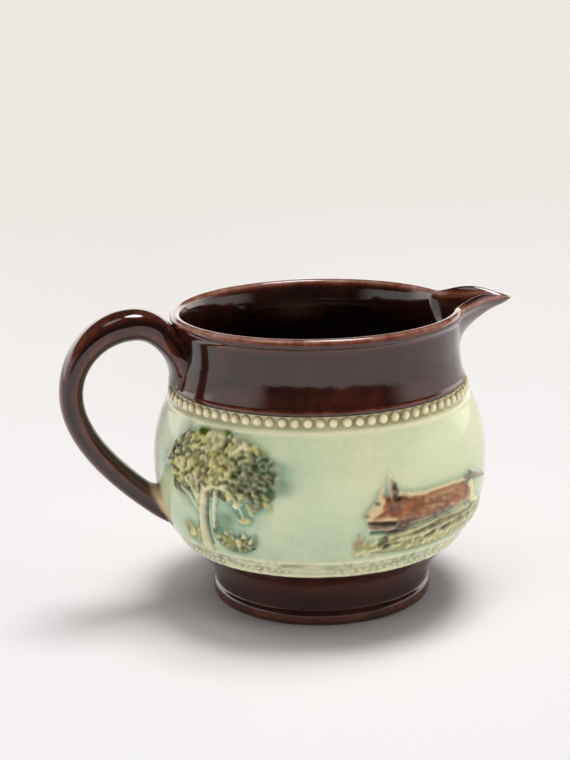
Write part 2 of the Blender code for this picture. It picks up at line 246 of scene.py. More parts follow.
@dataclass(frozen=True)
class NodeMaker:
    """Adds shader nodes to one material's or world's tree."""

    tree: bpy.types.NodeTree

    def add(self, kind: str, settings: dict | None = None, out: int | str = 0,
            stops: tuple = (), **links: object) -> bpy.types.NodeSocket:
        """Add a node, set its properties and feed its inputs.

        Args:
            kind: the node's class, without the words ShaderNode.
            settings: the node's own properties.
            out: the output that is wanted, by name or place.
            stops: places and colours, for a ramp.
            links: inputs, as feed takes them.

        Returns:
            The wanted output.
        """
        node = self.tree.nodes.new("ShaderNode" + kind)
        for name, value in (settings or {}).items():
            setattr(node, name, value)
        for _ in stops[2:]:
            node.color_ramp.elements.new(0.5)
        for i, (along, colour) in enumerate(stops):
            node.color_ramp.elements[i].position = along
            node.color_ramp.elements[i].color = settled(colour)
        self.feed(node, **links)
        return node.outputs[out]

    def feed(self, node: bpy.types.Node, **links: object) -> None:
        """Feed a node's inputs.

        Args:
            node: the node.
            links: input name, with spaces as underscores, to a socket, a hex colour or a plain
                value. A name of in and a digit is that input by its place.
        """
        for name, value in links.items():
            socket = node.inputs[int(name[2:]) if name[2:].isdigit() else name.replace("_", " ")]
            if isinstance(value, bpy.types.NodeSocket):
                self.tree.links.new(value, socket)
            else:
                socket.default_value = settled(value)

    def speckle(self, size_mm: float, detail: float, tall: float = 1.0) -> bpy.types.NodeSocket:
        """Make a cloudy pattern of a real size, drawn out upward by tall."""
        where = self.add("TexCoord", out="Object")
        scaled = self.add("Mapping", Vector=where, Scale=(1.0, 1.0, 1.0 / tall))
        return self.add("TexNoise", Vector=scaled, Scale=1.0 / (size_mm * MM), Detail=detail,
                        Roughness=0.55)

    def uneven(self, *layers: tuple[float, float, float]) -> bpy.types.NodeSocket:
        """Stack unevenness, each layer a speckle's size and detail and a depth, in mm."""
        under = {}
        for size_mm, detail, depth_mm in layers:
            under["Normal"] = self.add("Bump", Height=self.speckle(size_mm, detail),
                                       Strength=1.0, Distance=depth_mm * MM, **under)
        return under["Normal"]


def new_material(name: str) -> tuple[bpy.types.Material, bpy.types.Node, NodeMaker]:
    """Start a material with a bare shader.

    Args:
        name: the material's name.

    Returns:
        The material, its shader node and a maker for more nodes.
    """
    material = bpy.data.materials.new(name)
    material.use_nodes = True
    return material, material.node_tree.nodes["Principled BSDF"], NodeMaker(material.node_tree)


@dataclass(frozen=True)
class TreacleGlaze:
    """Lead-bright treacle glaze, dipped and fired over brown stoneware.

    It pools nearly black, and where it drains off edges the red-brown body shows. Its palest,
    pinkish grey is also laid as painted highlight along the top of the rim, and with the darker
    colours as painted reflections and shade in bands round the handle. The eye sees soft long
    streaks under a wet, slightly uneven gloss.
    """

    name: str = "treacle_glaze_dipped"
    pooled: str = "#1c0e0b"
    middle: str = "#3d1a12"
    thin_glaze_and_painted_light: str = "#74402c"
    # The palest colour, where the glaze drains off rims, and also laid as painted highlight
    edge: str = "#b3948a"
    bleed: str = "#c4ab86"
    roughness: float = 0.04
    ior: float = 1.64
    streak_mm: float = 2.4
    cloud_mm: float = 8.0

    def build(self) -> bpy.types.Material:
        """Make the glaze's material."""
        material, shader, make = new_material(self.name)
        streak, cloud = make.speckle(self.streak_mm, 4.0, 4.0), make.speckle(self.cloud_mm, 3.0)
        thin_glaze_and_painted_light, runny = (make.add("Attribute", {"attribute_name": name}, "Fac")
                       for name in ("thin_glaze_and_painted_light", "bleed"))
        share = make.add("Math", TIMES_PLUS, in0=streak, in1=0.42, in2=thin_glaze_and_painted_light)
        share = make.add("Math", TIMES_PLUS, in0=cloud, in1=0.40, in2=share)
        share = make.add("Math", in0=share, in1=-0.32)
        colour = make.add("ValToRGB", None, "Color", (
            (0.0, self.pooled), (0.28, self.middle), (0.62, self.thin_glaze_and_painted_light), (1.0, self.edge)),
            Fac=share)
        make.feed(shader, IOR=self.ior,
                  Base_Color=make.add("Mix", BLEND, 2, in0=runny, in6=colour, in7=self.bleed),
                  Roughness=make.add("Math", TIMES_PLUS, in0=cloud, in1=0.08,
                                     in2=self.roughness),
                  Normal=make.uneven((9.0, 1.0, 0.16), (1.1, 2.0, 0.008)))
        return material


@dataclass(frozen=True)
class PaintedGreenGlaze:
    """Pale green majolica glaze over moulded and hand painted stoneware.

    Colour lies under the glaze and runs a little, so it is dark and blue-green in the
    hollows and washed out on the high places. The glaze is clear and bright, with a faint
    orange-peel unevenness and broad warmer clouds on the open field.
    """

    name: str = "green_majolica_glaze"
    pooled: str = "#3f7a68"
    warm: str = "#dcd6ae"
    roughness: float = 0.08
    ior: float = 1.5
    cloud_mm: float = 17.0
    mottle_mm: float = 1.8

    def build(self) -> bpy.types.Material:
        """Make the glaze's material."""
        material, shader, make = new_material(self.name)
        cloud, mottle = make.speckle(self.cloud_mm, 3.0), make.speckle(self.mottle_mm, 3.0)
        paint, pool, field_share = (make.add("Attribute", {"attribute_name": name}, out)
                                    for name, out in (("paint", "Color"), ("pool", "Fac"),
                                                      ("open_field", "Fac")))
        warmth = make.add("Math", TIMES_PLUS, in0=cloud, in1=1.5, in2=-0.55)
        warmth = make.add("Math", TIMES, in0=warmth, in1=field_share)
        base = make.add("Mix", BLEND, 2, in0=warmth, in6=paint, in7=self.warm)
        dapple = make.add("ValToRGB", None, "Color", (
            (0.3, (0.90, 0.92, 0.90, 1.0)), (0.7, (1.04, 1.03, 1.0, 1.0))), Fac=mottle)
        base = make.add("Mix", {**BLEND, "blend_type": "MULTIPLY"}, 2, in0=0.6, in6=base,
                        in7=dapple)
        make.feed(shader, IOR=self.ior,
                  Base_Color=make.add("Mix", BLEND, 2, in0=pool, in6=base, in7=self.pooled),
                  Roughness=make.add("Math", TIMES_PLUS, in0=mottle, in1=0.10,
                                     in2=self.roughness),
                  Normal=make.uneven((4.0, 2.0, 0.06), (0.8, 2.0, 0.006)))
        return material


@dataclass(frozen=True)
class CreamGlaze:
    """Slip under clear glaze on the beads: warm and pale on their crowns, painted shade round
    their feet.
    """

    name: str = "cream_slip_glazed"
    pale: str = "#e0d8b2"
    stain_and_base_shade: str = "#8a7a4e"
    roughness: float = 0.11
    ior: float = 1.5

    def build(self) -> bpy.types.Material:
        """Make the glaze's material."""
        material, shader, make = new_material(self.name)
        crown = make.add("Attribute", {"attribute_name": "crown"}, "Fac")
        cloud = make.speckle(2.4, 2.0)
        # Painted shade: the colour runs to the darker brown as the crown falls away towards the
        # wall.
        share = make.add("Math", TIMES_PLUS, in0=cloud, in1=0.7,
                         in2=make.add("Math", in0=crown, in1=-0.35))
        make.feed(shader, IOR=self.ior,
                  Base_Color=make.add("ValToRGB", None, "Color", (
                      (0.38, self.stain_and_base_shade), (0.92, self.pale)), Fac=share),
                  Roughness=make.add("Math", TIMES_PLUS, in0=cloud, in1=0.1,
                                     in2=self.roughness))
        return material


@dataclass(frozen=True)
class BareStoneware:
    """Fired stoneware wiped clean of glaze under the foot: buff, dry and a little gritty."""

    name: str = "bare_fired_stoneware"
    buff: str = "#a58866"
    iron: str = "#6c4a33"
    grit_mm: float = 0.6

    def build(self) -> bpy.types.Material:
        """Make the bare clay's material."""
        material, shader, make = new_material(self.name)
        grit = make.speckle(self.grit_mm, 4.0)
        cloud = make.add("Math", TIMES, in0=make.speckle(8.0, 2.0), in1=0.5)
        share = make.add("Math", TIMES_PLUS, in0=grit, in1=0.6, in2=cloud)
        make.feed(shader, Normal=make.uneven((self.grit_mm, 4.0, 0.04)),
                  Base_Color=make.add("ValToRGB", None, "Color", (
                      (0.35, self.iron), (0.6, self.buff)), Fac=share),
                  Roughness=make.add("Math", TIMES_PLUS, in0=grit, in1=0.2, in2=0.65))
        return material


@dataclass(frozen=True)
class PaleSweep:
    """White painted table, painted greyer and warmer far behind the jug as shade where light falls
    off.
    """

    name: str = "white_painted_table"
    near: str = "#f6f3f4"
    far: str = "#ece8e2"

    def build(self) -> bpy.types.Material:
        """Make the table's material."""
        material, shader, make = new_material(self.name)
        away = make.add("SeparateXYZ", None, "Y", Vector=make.add("TexCoord", out="Object"))
        colour = make.add("ValToRGB", None, "Color", ((0.0, self.near), (1.0, self.far)),
                          Fac=make.add("Math", TIMES, in0=away, in1=1.3))
        rough = make.add("Math", TIMES_PLUS, in0=make.speckle(4.0, 3.0), in1=0.1, in2=0.6)
        make.feed(shader, Base_Color=colour, Roughness=rough, Specular_IOR_Level=0.0)
        return material


def grid_mesh(name: str, points: np.ndarray) -> bpy.types.Mesh:
    """Skin grids of points with quads, their last columns meeting their first.

    Args:
        name: the mesh's name.
        points: rows by columns by three, in metres, with any more grids on an axis before.

    Returns:
        The smooth-shaded mesh, facing the side from which columns run anticlockwise with
        the rows going up.
    """
    first = np.arange(points[..., 0].size).reshape(points.shape[:-1])
    following = np.roll(first, -1, axis=-1)
    faces = np.stack([first[..., :-1, :], following[..., :-1, :], following[..., 1:, :],
                      first[..., 1:, :]], axis=-1)
    mesh = bpy.data.meshes.new(name)
    mesh.from_pydata(points.reshape(-1, 3).tolist(), [], faces.reshape(-1, 4).tolist())
    mesh.shade_smooth()
    return mesh


def store(mesh: bpy.types.Mesh, name: str, values: np.ndarray) -> None:
    """Keep a value or a colour for each point of a mesh.

    Args:
        mesh: the mesh.
        name: the attribute's name.
        values: one number a point, or four along the last axis for a colour.
    """
    coloured = values.size == 4 * len(mesh.vertices)
    layer = mesh.attributes.new(name, "FLOAT_COLOR" if coloured else "FLOAT", "POINT")
    layer.data.foreach_set("color" if coloured else "value",
                           values.reshape(-1).astype(np.float32))


def linked(name: str, data: bpy.types.ID) -> bpy.types.Object:
    """Add an object with this mesh, lamp or camera to the scene."""
    item = bpy.data.objects.new(name, data)
    bpy.context.scene.collection.objects.link(item)
    return item


def place(mesh: bpy.types.Mesh, *materials: bpy.types.Material) -> None:
    """Add a piece of the jug to the scene and say what it stands for.

    Args:
        mesh: its mesh, in the frame's place, whose name it takes.
        materials: its materials, in slot order.
    """
    piece = linked(mesh.name, mesh)
    for material in materials:
        mesh.materials.append(material)
    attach(piece, BODY)
    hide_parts(NODE)
    LOG.info("%s: %d faces", mesh.name, len(mesh.polygons))


@dataclass
class TurnedWall:
    """The glazed brown wall: inside, rim, lip and neck in one piece, and the foot."""

    outline: TurnedOutline
    columns: int = 360
    neck_foot_height: float = 62.2
    collar_bead_height: float = 63.1
    collar_bead_proud: float = 0.32
    foot_groove_height: float = 4.3
    foot_groove_depth: float = 0.7
    bare_radius: float = 27.5
    inner_flare: float = 0.9
    tuck: float = 0.6
    run_azimuth: float = 89.0
    run_height: float = 73.0

    def neck_section(self) -> tuple[np.ndarray, np.ndarray]:
        """Run up the inside, over the rim and down the neck.

        Returns:
            Radius and height of each point of the half section.
        """
        shape = self.outline
        inner = np.concatenate([np.linspace(shape.floor + 6.0, shape.neck_height, 34),
                                np.linspace(shape.neck_height, shape.rim_height - 2.0, 16)[1:]])
        flare = self.inner_flare * np.clip((inner - shape.neck_height) / 10.4, 0.0, 1.0) ** 2
        corner = shape.foot_radius - 2.5 * shape.wall
        bend = np.linspace(0.0, 1.0, 9)[:-1]
        first = shape.radius(inner[:1])[0] - shape.wall
        floor_r, floor_z = (
            (1 - bend) ** 2 * start + 2 * bend * (1 - bend) * middle + bend ** 2 * end
            for start, middle, end in ((corner, first - 1.2, first),
                                       (shape.floor, shape.floor + 0.4, inner[0])))
        turn = np.radians(np.linspace(168.0, -52.0, 30))
        roll_r = shape.rim_radius - shape.rim_roll + shape.rim_roll * np.cos(turn)
        roll_z = shape.rim_height - shape.rim_roll + shape.rim_roll * np.sin(turn)
        outer = np.concatenate([np.linspace(shape.rim_height - 2 * shape.rim_roll - 0.7,
                                            shape.neck_height, 22),
                                np.linspace(shape.neck_height, self.neck_foot_height, 26)[1:]])
        collar = self.collar_bead_proud * hump(outer, self.collar_bead_height, 0.42)
        r = [[0.0, 0.45 * corner, 0.9 * corner], floor_r, shape.radius(inner) - shape.wall + flare,
             roll_r, shape.radius(outer) + collar, [shape.radius(outer[-1]) - self.tuck]]
        z = [[shape.floor] * 3, floor_z, inner, roll_z, outer, [self.neck_foot_height - 0.2]]
        return np.concatenate(r), np.concatenate(z)

    def foot_section(self) -> tuple[np.ndarray, np.ndarray]:
        """Run down the foot and in under it to the axis."""
        shape = self.outline
        outer = np.linspace(shape.band_foot_height + 0.1, shape.foot_edge, 46)
        groove = self.foot_groove_depth * hump(outer, self.foot_groove_height, 0.75)
        turn = np.radians(np.linspace(0.0, -90.0, 7))[1:]
        r = [[shape.radius(outer[0]) - self.tuck], shape.radius(outer) - groove,
             shape.foot_radius - shape.foot_edge * (1.0 - np.cos(turn)),
             [self.bare_radius + 0.4, self.bare_radius, 14.0, 0.0]]
        z = [[outer[0] + 0.2], outer, shape.foot_edge * (1.0 + np.sin(turn)), [0.0] * 4]
        return np.concatenate(r), np.concatenate(z)

    def turned(self, name: str, section: tuple[np.ndarray, np.ndarray]) -> bpy.types.Mesh:
        """Turn a half section about the axis and draw the lip out of it."""
        r, z = (values[:, None] for values in section)
        azimuth = self.outline.gathered(self.columns)[None, :]
        inset = np.maximum(0.0, self.outline.radius(z) - r)
        push, lift = self.outline.lip_shift(np.degrees(azimuth), z, inset)
        reach = np.where(r > 0.0, r + push, 0.0)
        points = np.stack([reach * np.cos(azimuth), reach * np.sin(azimuth), z + lift], -1)
        return grid_mesh(name, points[::-1] * MM)

    def drained(self, mesh: bpy.types.Mesh) -> np.ndarray:
        """Judge how thinly the glaze has drained, with a painted highlight on the rim, and mark a
        run inside.
        """
        co = np.empty(len(mesh.vertices) * 3)
        mesh.vertices.foreach_get("co", co)
        x, y, z = co.reshape(-1, 3).T / MM
        shape = self.outline
        r = np.hypot(x, y)
        outer = r > shape.radius(z) - 1.2
        top = shape.rim_height + 0.9 * np.clip((r - 42.0) / 6.0, 0.0, 1.0)
        run = hump(np.degrees(np.arctan2(y, x)), self.run_azimuth, 11.0) \
            * hump(z, self.run_height, 3.4) * ~outer
        store(mesh, "bleed", 0.09 * run)
        thin_glaze_and_painted_light = 0.28 * run
        # Along the top of the rim roll the lighter band is partly glaze drained off the rim and
        # partly painted highlight.
        for share, height, half, where in (
                (0.66, top - 0.4, 1.0, 1.0), (0.22, 79.2, 1.0, outer),
                (0.34, self.collar_bead_height + 0.1, 0.5, outer), (0.12, 66.0, 2.0, outer),
                (0.24, 2.0, 1.0, z < 5.0), (0.16, 12.5, 3.0, (z < 17.4) & (r > 30.0))):
            thin_glaze_and_painted_light = thin_glaze_and_painted_light + share * hump(z, height, half) * where
        return thin_glaze_and_painted_light

    def build(self, glaze: bpy.types.Material, bare: bpy.types.Material) -> None:
        """Make and dress the two turned pieces."""
        for name, section in (("neck_and_inside", self.neck_section()),
                              ("turned_foot", self.foot_section())):
            mesh = self.turned(name, section)
            store(mesh, "thin_glaze_and_painted_light", self.drained(mesh))
            place(mesh, glaze, bare)
            for face in mesh.polygons:
                x, y, z = face.center / MM
                face.material_index = int(z < 0.05 and math.hypot(x, y) < self.bare_radius)


class Tool(Enum):
    """What a stroke does to the clay and the paint."""

    RAISE = "raise"
    CUT = "cut"
    BRUSH = "brush"
    WASH = "wash"


@dataclass(frozen=True)
class Stroke:
    """One stroke of a figure, in shares of the figure's size.

    A raised stroke is a rounded ridge and crown is its height, and a cut takes crown away. A
    brushed one lays colour alone on the raised work, as strongly as crown says, and a wash
    lays it softly on the ground as well.
    """

    x0: float
    y0: float
    x1: float
    y1: float
    start_width: float
    end_width: float
    crown: float
    tint: Tint
    tool: Tool = Tool.RAISE


def trail(points: list[tuple[float, float, float]], crown: float, tint: Tint,
          tool: Tool = Tool.RAISE) -> list[Stroke]:
    """Join points into one bent stroke.

    Args:
        points: across, up and width of each point.
        crown: its height or strength.
        tint: its colour.
        tool: what it does.

    Returns:
        The strokes between the points.
    """
    return [Stroke(x0, y0, x1, y1, w0, w1, crown, tint, tool)
            for (x0, y0, w0), (x1, y1, w1) in zip(points[:-1], points[1:])]


def flick(across: float, up: float, right: float, rise: float, start_width: float,
          end_width: float, crown: float, tint: Tint, tool: Tool = Tool.RAISE) -> Stroke:
    """Make a short stroke from a point, by how far it goes right and up."""
    return Stroke(across, up, across + right, up + rise, start_width, end_width, crown, tint,
                  tool)


def dabbed(rows: list[tuple], back: float, forth: float, tool: Tool) -> list[Stroke]:
    """Make level dabs from rows of across, up, width, strength and tint."""
    return [Stroke(x - back, y, x + forth, y, wide, wide, strength, tint, tool)
            for x, y, wide, strength, tint in rows]


@dataclass
class ReliefFigure:
    """A moulded figure on the band, drawn with strokes."""

    azimuth: float
    foot_height: float
    size: float
    depth: float
    side: Side
    strokes: list[Stroke]
    pooling: float = 1.0
    roundness: float = 0.6
    margin: float = 1.05

    def turn_from(self, azimuth_deg: np.ndarray) -> np.ndarray:
        """Give how many degrees round from the figure's middle an azimuth lies."""
        return (azimuth_deg - self.azimuth + 180.0) % 360.0 - 180.0

    def press(self, band: "BandGrid") -> None:
        """Raise the figure on the band's grid and paint it.

        Args:
            band: the grid, which is changed.
        """
        per_share = math.degrees(self.size / band.outline.belly_radius)
        across = self.side.value * self.turn_from(band.azimuth_deg) / per_share
        up = (band.height - self.foot_height) / self.size
        for stroke in self.strokes:
            self.press_stroke(band, stroke, across, up)

    def press_stroke(self, band: "BandGrid", stroke: Stroke, across: np.ndarray,
                     up: np.ndarray) -> None:
        """Raise one stroke.

        Args:
            band: the grid, which is changed.
            stroke: the stroke.
            across: each column's place across the figure.
            up: each row's place up the figure.
        """
        reach = max(stroke.start_width, stroke.end_width) * self.margin
        columns = np.flatnonzero((across > min(stroke.x0, stroke.x1) - reach)
                                 & (across < max(stroke.x0, stroke.x1) + reach))
        rows = np.flatnonzero((up > min(stroke.y0, stroke.y1) - reach)
                              & (up < max(stroke.y0, stroke.y1) + reach))
        if not len(columns) or not len(rows):
            return
        a, u = across[columns][None, :], up[rows][:, None]
        dx, dy = stroke.x1 - stroke.x0, stroke.y1 - stroke.y0
        along = np.clip(((a - stroke.x0) * dx + (u - stroke.y0) * dy)
                        / max(dx * dx + dy * dy, 1e-9), 0.0, 1.0)
        gap = np.hypot(a - stroke.x0 - along * dx, u - stroke.y0 - along * dy)
        width = stroke.start_width + (stroke.end_width - stroke.start_width) * along
        dome = np.clip(1.0 - (gap / width) ** 2, 0.0, 1.0)
        window = np.ix_(rows, columns)
        old = band.proud[window]
        weight = smooth(dome * 2.2)[..., None]
        if stroke.tool is Tool.CUT:
            band.proud[window] = old - self.depth * stroke.crown * smooth(dome)
        elif stroke.tool is Tool.BRUSH:
            weight = (stroke.crown * smooth(dome * 1.4) * band.figure[window])[..., None]
        elif stroke.tool is Tool.WASH:
            weight = (stroke.crown * smooth(dome))[..., None]
        else:
            rise = self.depth * stroke.crown * dome ** self.roundness
            band.proud[window] = np.maximum(old, rise)
            weight = weight * (rise >= old - 0.05)[..., None]
            band.figure[window] = np.maximum(band.figure[window], smooth(dome * 8.0))
        colour = np.array(linear(stroke.tint.value))
        band.paint[window] = band.paint[window] * (1 - weight) + colour * weight


def crown_place(ring: float, turn: float) -> tuple[float, float]:
    """Find a place in the tree's crown, ring running from its middle to its edge."""
    across = 0.01 + 0.54 * ring * math.cos(turn)
    return across, 0.735 + 0.225 * ring * math.sin(turn) - 0.07 * abs(across) * ring


def leaf_tint(across: float, up: float, chance: float) -> Tint:
    """Choose a leaf's colour: darker to the right and at the edges, paler above."""
    dark = 0.30 + 0.75 * across + 0.9 * max(0.0, abs(across) - 0.33) - 0.5 * (up - 0.72)
    if chance < dark:
        return Tint.LEAF_DARK if chance < 0.55 * dark else Tint.LEAF
    return Tint.LEAF_LIGHT if chance < 0.80 else Tint.LEAF_PALE


def tree_crown(rng: np.random.Generator, fullness: float) -> list[Stroke]:
    """Draw the tree's leafy crown.

    Args:
        rng: source of the random leaves.
        fullness: how many leaves, as a share of a full crown.

    Returns:
        The strokes: the mass, clumps of leaves, single leaves, pits and brushed colour.
    """
    pick, full_turn = rng.uniform, 2 * math.pi
    dark, light, pale = Tint.LEAF_DARK, Tint.LEAF_LIGHT, Tint.LEAF_PALE
    teal = Tint.TEAL_DARK
    strokes = []
    for ring, count in ((0.0, 1), (0.45, 6), (0.86, 14)):
        for i in range(count):
            across, up = crown_place(0.93 * ring, full_turn * (i + 0.3 * ring) / count)
            strokes.append(flick(across - 0.03, up, 0.06, 0.01, 0.110, 0.100, 0.36, dark))
    strokes += [Stroke(-0.42, 0.50, -0.32, 0.47, 0.060, 0.045, 0.36, dark),
                Stroke(0.48, 0.56, 0.40, 0.48, 0.075, 0.055, 0.36, dark)]
    for _ in range(int(150 * fullness)):
        across, up = crown_place(math.sqrt(pick(0.0, 1.10)), pick(0.0, full_turn))
        wide = pick(0.018, 0.036)
        strokes.append(flick(across - 0.4 * wide, up, 0.8 * wide, pick(-0.02, 0.02), wide,
                             0.7 * wide, pick(0.5, 0.85), leaf_tint(across, up, pick())))
    for _ in range(int(210 * fullness)):
        turn = pick(0.0, full_turn)
        across, up = crown_place(math.sqrt(pick(0.0, 1.12)), turn)
        lean, length = turn + pick(-1.2, 1.2), pick(0.010, 0.035)
        strokes.append(flick(across, up, length * math.cos(lean), length * math.sin(lean),
                             pick(0.010, 0.017), 0.008, pick(0.7, 1.0),
                             leaf_tint(across, up, pick(0.25, 1.0))))
    for _ in range(16):
        across, up = 0.42 + pick(-0.05, 0.09), 0.50 + pick(-0.07, 0.07)
        strokes.append(flick(across, up, 0.02, -0.015, 0.022, 0.012, pick(0.5, 0.9),
                             leaf_tint(0.2, 0.6, pick(0.1, 1.0))))
    for _ in range(int(120 * fullness)):
        across, up = crown_place(math.sqrt(pick(0.0, 1.0)), pick(0.0, full_turn))
        strokes.append(flick(across, up, pick(-0.03, 0.03), pick(-0.03, 0.03),
                             pick(0.009, 0.019), 0.009, pick(0.3, 0.6), dark, Tool.CUT))
    return strokes + dabbed([
        (-0.36, 0.86, 0.09, 0.75, dark), (-0.51, 0.72, 0.07, 0.65, dark),
        (0.25, 0.78, 0.10, 0.50, dark), (0.42, 0.70, 0.15, 0.85, dark),
        (0.48, 0.80, 0.12, 0.85, teal), (0.54, 0.60, 0.09, 0.85, teal),
        (0.38, 0.48, 0.07, 0.60, teal), (-0.22, 0.54, 0.10, 0.40, dark),
        (-0.02, 0.93, 0.11, 0.45, pale), (0.05, 0.74, 0.15, 0.50, light),
        (0.24, 0.97, 0.10, 0.45, Tint.BARK), (0.18, 0.62, 0.08, 0.35, dark),
        (0.28, 0.70, 0.12, 0.65, dark), (-0.20, 0.72, 0.12, 0.30, light),
        (-0.38, 0.68, 0.08, 0.25, pale), (0.46, 0.90, 0.06, 0.35, pale),
        (0.10, 0.84, 0.07, 0.45, dark), (-0.10, 0.62, 0.06, 0.35, Tint.RUSSET),
    ], 0.0, 0.02, Tool.BRUSH)


def tree_strokes(seed: int, fullness: float) -> list[Stroke]:
    """Draw the tree: its crown, trunks and branches, and the bushes at its foot.

    Args:
        seed: fixes the random leaves.
        fullness: how many leaves, as a share of a full crown.

    Returns:
        The strokes, in shares of the tree's height.
    """
    rng = np.random.default_rng(seed)
    pick, teal, dark = rng.uniform, Tint.TEAL, Tint.TEAL_DARK
    strokes = dabbed([
        (0.20, 0.36, 0.15, 0.55, teal), (0.10, 0.30, 0.10, 0.60, dark),
        (0.05, 0.20, 0.07, 0.60, dark), (0.60, 0.62, 0.09, 0.55, dark),
        (0.58, 0.74, 0.10, 0.35, teal), (-0.30, 0.44, 0.12, 0.35, dark),
        (-0.20, 0.36, 0.09, 0.30, teal), (-0.60, 0.60, 0.09, 0.30, teal),
        (0.40, 0.36, 0.12, 0.35, teal), (0.18, 0.10, 0.22, 0.30, teal),
        (-0.42, 0.95, 0.10, 0.30, Tint.LEAF_DARK),
    ], 0.02, 0.02, Tool.WASH)
    strokes += tree_crown(rng, fullness)
    for points in (
            [(-0.155, 0.02, 0.062), (-0.13, 0.14, 0.044), (-0.12, 0.30, 0.037),
             (-0.10, 0.44, 0.035), (-0.08, 0.54, 0.028)],
            [(0.00, 0.24, 0.016), (0.015, 0.40, 0.020), (0.035, 0.53, 0.018)],
            [(-0.145, 0.42, 0.026), (-0.20, 0.51, 0.018), (-0.27, 0.58, 0.011)],
            [(-0.14, 0.46, 0.020), (-0.16, 0.58, 0.013), (-0.165, 0.67, 0.009)],
            [(-0.13, 0.34, 0.022), (-0.24, 0.45, 0.015), (-0.35, 0.50, 0.010)],
            [(-0.09, 0.50, 0.020), (-0.02, 0.57, 0.015), (0.07, 0.575, 0.013),
             (0.17, 0.55, 0.012), (0.24, 0.46, 0.011), (0.285, 0.36, 0.009)]):
        strokes += trail(points, 0.64, Tint.BARK)
    strokes += trail([(-0.075, 0.06, 0.012), (-0.070, 0.30, 0.014), (-0.040, 0.50, 0.012)],
                     0.6, Tint.RUSSET, Tool.CUT)
    strokes += trail([(-0.185, 0.06, 0.007), (-0.165, 0.24, 0.007), (-0.13, 0.46, 0.006)],
                     0.12, Tint.GRASS, Tool.CUT)
    strokes += trail([(-0.11, 0.10, 0.030), (-0.09, 0.40, 0.024)], 0.40, Tint.GRASS, Tool.BRUSH)
    for _ in range(26):
        turn = pick(0.0, 2 * math.pi)
        strokes.append(flick(0.27 + 0.075 * math.cos(turn), 0.41 + 0.075 * math.sin(turn), 0.02,
                             -0.02, 0.016, 0.009, pick(0.5, 0.9),
                             leaf_tint(0.1, 0.6, pick(0.2, 1.0))))
    strokes += trail([(0.18 + 0.19 * math.cos(t), 0.19 + 0.135 * math.sin(t), 0.024)
                      for t in np.linspace(0.80 * math.pi, 2.05 * math.pi, 9)], 0.42, dark)
    strokes += trail([(0.06, 0.15, 0.045), (0.17, 0.12, 0.055), (0.30, 0.15, 0.045)],
                     0.36, Tint.LEAF)
    strokes.append(Stroke(-0.33, 0.10, -0.24, 0.15, 0.055, 0.050, 0.36, Tint.LEAF))
    tints = (Tint.GRASS, Tint.LEAF_LIGHT, Tint.LEAF_PALE, Tint.LEAF)
    for _ in range(60):
        turn, ring = pick(0.0, 2 * math.pi), math.sqrt(pick())
        middle, half, foot = (-0.28, 0.10, 0.13) if pick() < 0.35 else (0.18, 0.17, 0.14)
        tint = tints[int(rng.integers(0, 4))]
        strokes.append(flick(middle + half * ring * math.cos(turn),
                             foot + 0.085 * ring * math.sin(turn), pick(-0.02, 0.02), 0.025,
                             0.017, 0.010, pick(0.5, 0.9), tint))
    for _ in range(22):
        strokes.append(flick(pick(0.02, 0.34), pick(0.08, 0.22), 0.02, pick(-0.02, 0.02), 0.014,
                             0.010, 0.35, dark, Tool.CUT))
    return strokes


def undergrowth(rng: np.random.Generator) -> list[Stroke]:
    """Draw the grass and the fallen log under a running animal."""
    pick, grass, dark = rng.uniform, Tint.GRASS, Tint.LEAF_DARK
    strokes = dabbed([
        (-0.42, 0.08, 0.06, 0.30, Tint.RUSSET), (-0.20, 0.10, 0.06, 0.40, grass),
        (0.05, 0.10, 0.06, 0.45, grass), (0.25, 0.11, 0.06, 0.40, grass),
        (0.38, 0.08, 0.06, 0.25, grass), (-0.05, 0.17, 0.06, 0.35, Tint.TEAL_DARK),
    ], 0.05, 0.05, Tool.WASH)
    strokes += trail([(-0.48, 0.100, 0.028), (-0.34, 0.060, 0.028), (-0.18, 0.052, 0.028),
                      (0.20, 0.050, 0.030), (0.46, 0.040, 0.020)], 0.30, grass)
    strokes += trail([(-0.30, 0.112, 0.046), (0.00, 0.125, 0.046), (0.28, 0.150, 0.042)],
                     0.26, Tint.LEAF)
    tints = (Tint.LEAF_LIGHT, grass, Tint.LEAF_PALE, Tint.BARK)
    for _ in range(120):
        across = pick(-0.48, 0.46)
        foot = 0.090 - 0.10 * max(0.0, -0.3 - across) + pick(-0.045, 0.03)
        tint = tints[int(rng.integers(0, 4))]
        strokes.append(flick(across, foot, pick(-0.01, 0.055), pick(-0.005, 0.022), 0.010,
                             0.006, pick(0.32, 0.58), tint))
    for _ in range(34):
        across = pick(-0.36, 0.34)
        up = 0.105 + 0.05 * (across + 0.3) * (across > -0.3) + pick(-0.035, 0.03)
        strokes.append(flick(across - 0.012, up, 0.026, 0.004, pick(0.008, 0.017), 0.010, 0.20,
                             dark, Tool.CUT))
    for points, crown in (
            ([(-0.31, 0.128, 0.015), (-0.14, 0.152, 0.013), (-0.03, 0.172, 0.012),
              (0.09, 0.170, 0.012), (0.24, 0.168, 0.011)], 0.56),
            ([(-0.27, 0.100, 0.010), (-0.10, 0.110, 0.010), (0.02, 0.128, 0.010),
              (0.16, 0.130, 0.009), (0.30, 0.122, 0.008)], 0.46),
            ([(-0.10, 0.070, 0.009), (0.10, 0.085, 0.009), (0.30, 0.078, 0.007)], 0.42)):
        strokes += trail(points, crown, Tint.LOG)
    for _ in range(70):
        across = pick(-0.30, 0.28)
        up = 0.15 + 0.02 * across + pick(-0.03, 0.025)
        strokes.append(flick(across, up, 0.02, pick(-0.008, 0.008), 0.008, 0.006, 0.70,
                             (grass, dark)[int(rng.integers(0, 2))], Tool.BRUSH))
    return strokes + [Stroke(-0.478, 0.105, -0.472, 0.165, 0.014, 0.007, 0.45, Tint.RUSSET),
                      Stroke(-0.460, 0.100, -0.440, 0.140, 0.011, 0.006, 0.45, grass)]


